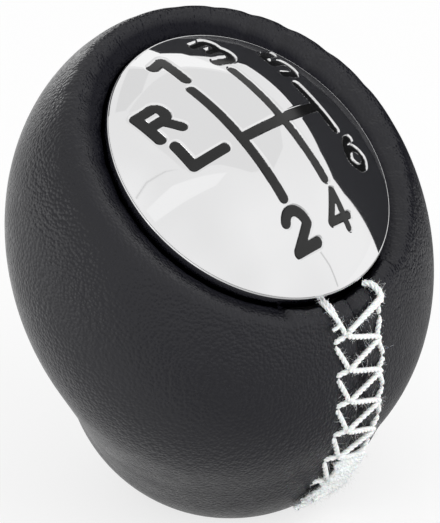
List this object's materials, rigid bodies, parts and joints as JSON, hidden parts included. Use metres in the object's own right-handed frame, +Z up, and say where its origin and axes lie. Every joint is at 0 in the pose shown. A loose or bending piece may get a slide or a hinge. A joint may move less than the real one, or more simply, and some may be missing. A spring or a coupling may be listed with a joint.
{
  "type": "gear shift knob",
  "caption": "Leather-wrapped gear shift knob with a slanted domed chrome cap, a sunk shift pattern and a white laced seam, over a blind socket for the lever.",
  "frame": {"origin": "middle of the flat foot, on the lever's axis", "axes": "+Z up along the lever, +Y forward, the laced seam at -Y towards the driver, +X to the right of the shift pattern"},
  "size_m": [0.0566, 0.0434, 0.0547],
  "materials": {
    "leather": "fine grained, satin",
    "core_plastic": "moulded",
    "sleeve_metal": "turned",
    "clip_steel": "spring steel",
    "chrome": "polished",
    "enamel": "filled enamel",
    "thread": "twisted thread"
  },
  "bodies": {
    "root": {"leather_cover": "leather", "core": "core_plastic", "lever_sleeve": "sleeve_metal", "spring_clip": "clip_steel", "cap_plate": "core_plastic", "chrome_cap": "chrome", "pattern_inlay": "enamel", "edge_stitch_left": "thread", "edge_stitch_right": "thread", "lacing_thread": "thread"}
  },
  "joints": []
}
